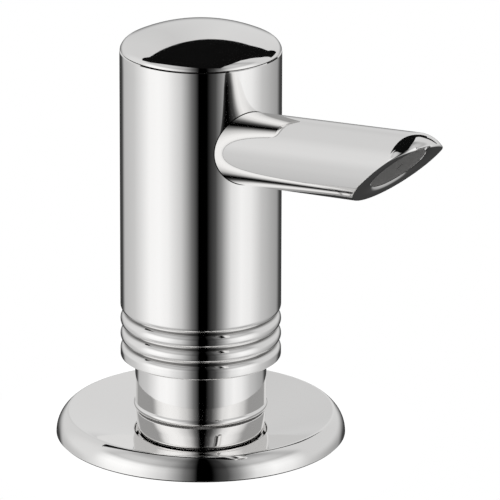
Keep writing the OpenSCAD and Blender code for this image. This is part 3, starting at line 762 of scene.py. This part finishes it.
spout_sides = 288
tube_steps = 30
nose_steps = 14
ease_steps = 6
valve_deep = 3.0
spout_mesh = bpy.data.meshes.new("spout_tube")
spout_work = bmesh.new()
strips = []
for k in range(spout_sides):
    turn = 2 * math.pi * k / spout_sides
    edge_u = mouth_place(turn)
    stop = edge_u - ease
    straight_end = min(nose_end - nose_r, stop - 1.0)
    line = []
    for i in range(tube_steps + 1):
        line.append(spout_point(spout_start + (straight_end - spout_start) * i / tube_steps, spout_r, turn))
    for i in range(1, nose_steps + 1):
        u = straight_end + (stop - straight_end) * i / nose_steps
        line.append(spout_point(u, spout_width(u), turn))
    nose_last = line[-1]
    edge = spout_point(edge_u, spout_width(edge_u), turn)
    inner = spout_point(mouth_at(spout_bore + bore_ease, turn), spout_bore + bore_ease, turn)
    flat_start = between(edge, inner, ease / math.dist(edge, inner))
    for i in range(1, ease_steps + 1):
        share = i / ease_steps
        line.append(between(between(nose_last, edge, share), between(edge, flat_start, share), share))
    line.append(between(edge, inner, 0.5))
    line.append(inner)
    line.append(spout_point(mouth_at(spout_bore, turn) - bore_ease, spout_bore, turn))
    line.append(spout_point(mouth_at(spout_bore, turn) - valve_deep, spout_bore, turn))
    line.append(spout_point(spout_start, spout_bore, turn))
    strips.append([spout_work.verts.new([x * mm for x in point]) for point in line])
for k in range(spout_sides):
    a, b = strips[k], strips[(k + 1) % spout_sides]
    for i in range(len(a)):
        j = (i + 1) % len(a)
        spout_work.faces.new((a[i], b[i], b[j], a[j]))
bmesh.ops.recalc_face_normals(spout_work, faces=spout_work.faces)
spout_work.to_mesh(spout_mesh)
spout_work.free()
spout_mesh.shade_smooth()
spout_mesh.set_sharp_from_angle(angle=math.radians(30.0))
spout = bpy.data.objects.new("spout_tube", spout_mesh)
scene.collection.objects.link(spout)
put(spout, "head", "spout", chrome_plate("spout_chrome"))

# Outlet valve and seat gasket: soft grey silicone, moulded. The valve fills the spout's mouth; the gasket is
# the thin grey line under the neck's bead.


def soft_rubber(name, dark, light, rough, grain):
    finish = bpy.data.materials.new(name)
    finish.use_nodes = True
    tree = finish.node_tree
    shader = tree.nodes["Principled BSDF"]
    shader.inputs["Specular IOR Level"].default_value = 0.35
    spot = tree.nodes.new("ShaderNodeTexCoord")
    cloud = tree.nodes.new("ShaderNodeTexNoise")
    cloud.inputs["Scale"].default_value = grain
    cloud.inputs["Detail"].default_value = 4.0
    tone = tree.nodes.new("ShaderNodeValToRGB")
    tone.color_ramp.elements[0].position = 0.3
    tone.color_ramp.elements[0].color = dark
    tone.color_ramp.elements[1].position = 0.7
    tone.color_ramp.elements[1].color = light
    gloss = tree.nodes.new("ShaderNodeMapRange")
    gloss.inputs["To Min"].default_value = rough - 0.06
    gloss.inputs["To Max"].default_value = rough + 0.06
    skin = tree.nodes.new("ShaderNodeBump")
    skin.inputs["Strength"].default_value = 0.12
    skin.inputs["Distance"].default_value = 0.00005
    tree.links.new(spot.outputs["Object"], cloud.inputs["Vector"])
    tree.links.new(cloud.outputs["Fac"], tone.inputs["Fac"])
    tree.links.new(tone.outputs["Color"], shader.inputs["Base Color"])
    tree.links.new(cloud.outputs["Fac"], gloss.inputs["Value"])
    tree.links.new(gloss.outputs["Result"], shader.inputs["Roughness"])
    tree.links.new(cloud.outputs["Fac"], skin.inputs["Height"])
    tree.links.new(skin.outputs["Normal"], shader.inputs["Normal"])
    return finish


def dress(node, finish):
    mesh = solids[node].data
    mesh.materials.clear()
    mesh.materials.append(finish)


silicone_dark = (0.165, 0.162, 0.158, 1.0)
silicone_light = (0.19, 0.186, 0.182, 1.0)
silicone = soft_rubber("grey_silicone", silicone_dark, silicone_light, 0.5, 900.0)
for node in ("outlet_valve", "seat_gasket"):
    dress(node, silicone)

# Black rubber: the gasket under the escutcheon, the washer under the deck, and the rings and seals of the
# pump. Moulded or cut, matt; the two that show have their edges eased.
rubber_dark = (0.012, 0.012, 0.012, 1.0)
rubber_light = (0.03, 0.03, 0.031, 1.0)
black_rubber = soft_rubber("black_rubber", rubber_dark, rubber_light, 0.62, 1400.0)


def ease_edges(node, width, angle=40.0):
    weld = solids[node].modifiers.new("weld", "WELD")
    weld.merge_threshold = 0.000005
    bevel = solids[node].modifiers.new("ease", "BEVEL")
    bevel.width = width * mm
    bevel.segments = 3
    bevel.limit_method = "ANGLE"
    bevel.angle_limit = math.radians(angle)
    bevel.harden_normals = False


for node in ("base_gasket", "deck_washer", "bottle_gasket", "cap_seal", "stem_seal", "piston_seal",
             "stem_wiper"):
    dress(node, black_rubber)
for node in ("base_gasket", "deck_washer"):
    ease_edges(node, 0.35)

# Friction ring and valve balls: stainless steel. The ring lets the nut turn without dragging the washer; the
# balls are the pump's valves.


def bare_steel(name):
    finish = bpy.data.materials.new(name)
    finish.use_nodes = True
    tree = finish.node_tree
    shader = tree.nodes["Principled BSDF"]
    shader.inputs["Base Color"].default_value = (0.6, 0.605, 0.61, 1.0)
    shader.inputs["Metallic"].default_value = 1.0
    spot = tree.nodes.new("ShaderNodeTexCoord")
    cloud = tree.nodes.new("ShaderNodeTexNoise")
    cloud.inputs["Scale"].default_value = 700.0
    cloud.inputs["Detail"].default_value = 5.0
    gloss = tree.nodes.new("ShaderNodeMapRange")
    gloss.inputs["To Min"].default_value = 0.2
    gloss.inputs["To Max"].default_value = 0.4
    tree.links.new(spot.outputs["Object"], cloud.inputs["Vector"])
    tree.links.new(cloud.outputs["Fac"], gloss.inputs["Value"])
    tree.links.new(gloss.outputs["Result"], shader.inputs["Roughness"])
    return finish


steel = bare_steel("bare_steel")
for node in ("friction_ring", "outlet_ball", "inlet_ball"):
    dress(node, steel)
ease_edges("friction_ring", 0.15)

# Return spring: stainless wire wound in six curls. It stands on the ball cage, carries the piston and lifts
# the head, and it shortens by the stroke when the head is pressed.
spring_low, spring_high = (corner[2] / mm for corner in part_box("return_spring"))
wire_r = 0.5
curl_r = 4.6
curls = 6
curl_steps = 40
wire_sides = 12
spring_mesh = bpy.data.meshes.new("return_spring_wire")
spring_work = bmesh.new()
spring_rings = []
rise = (spring_high - spring_low - 2 * wire_r) / curls
lean = math.atan2(rise, 2 * math.pi * curl_r)
for step in range(curls * curl_steps + 1):
    turn = 2 * math.pi * step / curl_steps
    height = spring_low + wire_r + rise * step / curl_steps
    ring = []
    for side in range(wire_sides):
        angle = 2 * math.pi * side / wire_sides
        out = wire_r * math.cos(angle)
        up = wire_r * math.sin(angle)
        ring.append(spring_work.verts.new((
            ((curl_r + out) * math.cos(turn) + up * math.sin(turn) * math.sin(lean)) * mm,
            ((curl_r + out) * math.sin(turn) - up * math.cos(turn) * math.sin(lean)) * mm,
            (height + up * math.cos(lean)) * mm)))
    spring_rings.append(ring)
for a, b in zip(spring_rings, spring_rings[1:]):
    for k in range(wire_sides):
        n = (k + 1) % wire_sides
        spring_work.faces.new((a[k], a[n], b[n], b[k]))
spring_work.faces.new(spring_rings[0])
spring_work.faces.new(list(reversed(spring_rings[-1])))
bmesh.ops.recalc_face_normals(spring_work, faces=spring_work.faces)
spring_work.to_mesh(spring_mesh)
spring_work.free()
spring_mesh.shade_smooth()
spring_mesh.set_sharp_from_angle(angle=math.radians(50.0))
spring = bpy.data.objects.new("return_spring_wire", spring_mesh)
scene.collection.objects.link(spring)
put(spring, "base", "return_spring", steel)
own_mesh(spring)

# Pump: the hub, tubes, stem, piston, cylinder and closure, moulded in natural plastic. They plug and screw
# into each other and stay out of sight.


def moulded_plastic(name, dark, light, rough, grain, bump):
    finish = bpy.data.materials.new(name)
    finish.use_nodes = True
    tree = finish.node_tree
    shader = tree.nodes["Principled BSDF"]
    spot = tree.nodes.new("ShaderNodeTexCoord")
    cloud = tree.nodes.new("ShaderNodeTexNoise")
    cloud.inputs["Scale"].default_value = grain
    cloud.inputs["Detail"].default_value = 5.0
    tone = tree.nodes.new("ShaderNodeValToRGB")
    tone.color_ramp.elements[0].position = 0.25
    tone.color_ramp.elements[0].color = dark
    tone.color_ramp.elements[1].position = 0.75
    tone.color_ramp.elements[1].color = light
    gloss = tree.nodes.new("ShaderNodeMapRange")
    gloss.inputs["To Min"].default_value = rough - 0.07
    gloss.inputs["To Max"].default_value = rough + 0.07
    skin = tree.nodes.new("ShaderNodeBump")
    skin.inputs["Strength"].default_value = bump
    skin.inputs["Distance"].default_value = 0.0001
    tree.links.new(spot.outputs["Object"], cloud.inputs["Vector"])
    tree.links.new(cloud.outputs["Fac"], tone.inputs["Fac"])
    tree.links.new(tone.outputs["Color"], shader.inputs["Base Color"])
    tree.links.new(cloud.outputs["Fac"], gloss.inputs["Value"])
    tree.links.new(gloss.outputs["Result"], shader.inputs["Roughness"])
    tree.links.new(cloud.outputs["Fac"], skin.inputs["Height"])
    tree.links.new(skin.outputs["Normal"], shader.inputs["Normal"])
    return finish


natural_dark = (0.74, 0.74, 0.71, 1.0)
natural_light = (0.8, 0.8, 0.78, 1.0)
white_plastic = moulded_plastic("natural_plastic", natural_dark, natural_light, 0.42, 900.0, 0.1)
for node in ("feed_tube", "actuator_hub", "guide_bush", "stem", "stem_cap", "piston", "ball_cage",
             "pump_foot", "pump_cylinder", "pump_closure"):
    dress(node, white_plastic)

# Mounting nut: a hand nut with four wings, moulded in black plastic. It is run up the shank's thread and
# clamps the deck through the friction ring and the washer.
nut_dark = (0.018, 0.018, 0.02, 1.0)
nut_light = (0.032, 0.032, 0.035, 1.0)
black_plastic = moulded_plastic("black_plastic", nut_dark, nut_light, 0.46, 2200.0, 0.25)
dress("mounting_nut", black_plastic)
ease_edges("mounting_nut", 0.6, 50.0)

# Bottle: blown polyethylene, milky and a little see-through, screwed onto the shank's lower end. Inside it a
# drawn clear dip tube hangs from the pump's foot.


def cloudy_plastic(name, colour, through, rough):
    finish = bpy.data.materials.new(name)
    finish.use_nodes = True
    tree = finish.node_tree
    shader = tree.nodes["Principled BSDF"]
    shader.inputs["Base Color"].default_value = colour
    shader.inputs["Transmission Weight"].default_value = through
    shader.inputs["IOR"].default_value = 1.5
    spot = tree.nodes.new("ShaderNodeTexCoord")
    cloud = tree.nodes.new("ShaderNodeTexNoise")
    cloud.inputs["Scale"].default_value = 120.0
    cloud.inputs["Detail"].default_value = 3.0
    gloss = tree.nodes.new("ShaderNodeMapRange")
    gloss.inputs["To Min"].default_value = rough - 0.05
    gloss.inputs["To Max"].default_value = rough + 0.05
    skin = tree.nodes.new("ShaderNodeBump")
    skin.inputs["Strength"].default_value = 0.08
    skin.inputs["Distance"].default_value = 0.0004
    tree.links.new(spot.outputs["Object"], cloud.inputs["Vector"])
    tree.links.new(cloud.outputs["Fac"], gloss.inputs["Value"])
    tree.links.new(gloss.outputs["Result"], shader.inputs["Roughness"])
    tree.links.new(cloud.outputs["Fac"], skin.inputs["Height"])
    tree.links.new(skin.outputs["Normal"], shader.inputs["Normal"])
    return finish


bottle_r = 33.0
bottle_wall = 1.4
bottle_top = -76.0
bottle_low = -210.0
mouth_r = 14.4
mouth_top = -54.0
mouth_edge = 0.4
mouth_bore = 12.0
mouth_seat = -69.0
seat_hole = 9.8
shoulder_round = 14.0
corner_round = 2.5
heel_round = 6.0
foot_ring = 22.0
hollow_r = 20.0
hollow_edge = 0.9
hollow_middle = 1.1
floor_middle = 2.3
bottle_line = (
    [(mouth_bore, mouth_top), (mouth_r - mouth_edge, mouth_top)]
    + rounding(mouth_r - mouth_edge, mouth_top - mouth_edge, mouth_edge, 90, 0, 4)[1:]
    + [(mouth_r, bottle_top + corner_round)]
    + rounding(mouth_r + corner_round, bottle_top + corner_round, corner_round, 180, 270, 8)[1:]
    + rounding(bottle_r - shoulder_round, bottle_top - shoulder_round, shoulder_round, 90, 0, 20)
    + rounding(bottle_r - heel_round, bottle_low + heel_round, heel_round, 0, -90, 12)
    + [(foot_ring, bottle_low), (hollow_r, bottle_low + hollow_edge), (0.0, bottle_low + hollow_middle),
       (0.0, bottle_low + floor_middle)]
    + rounding(bottle_r - heel_round, bottle_low + heel_round, heel_round - bottle_wall, -90, 0, 12)
    + rounding(bottle_r - shoulder_round, bottle_top - shoulder_round, shoulder_round - bottle_wall,
               0, 90, 20)
    + [(seat_hole, bottle_top - bottle_wall), (seat_hole, mouth_seat), (mouth_bore, mouth_seat)])
bottle = turned("bottle_shell", bottle_line, 192)
milky = cloudy_plastic("bottle_plastic", (0.96, 0.965, 0.96, 1.0), 0.35, 0.4)
put(bottle, "base", "bottle", milky)
dress("dip_tube", cloudy_plastic("dip_plastic", (0.9, 0.92, 0.92, 1.0), 0.6, 0.2))
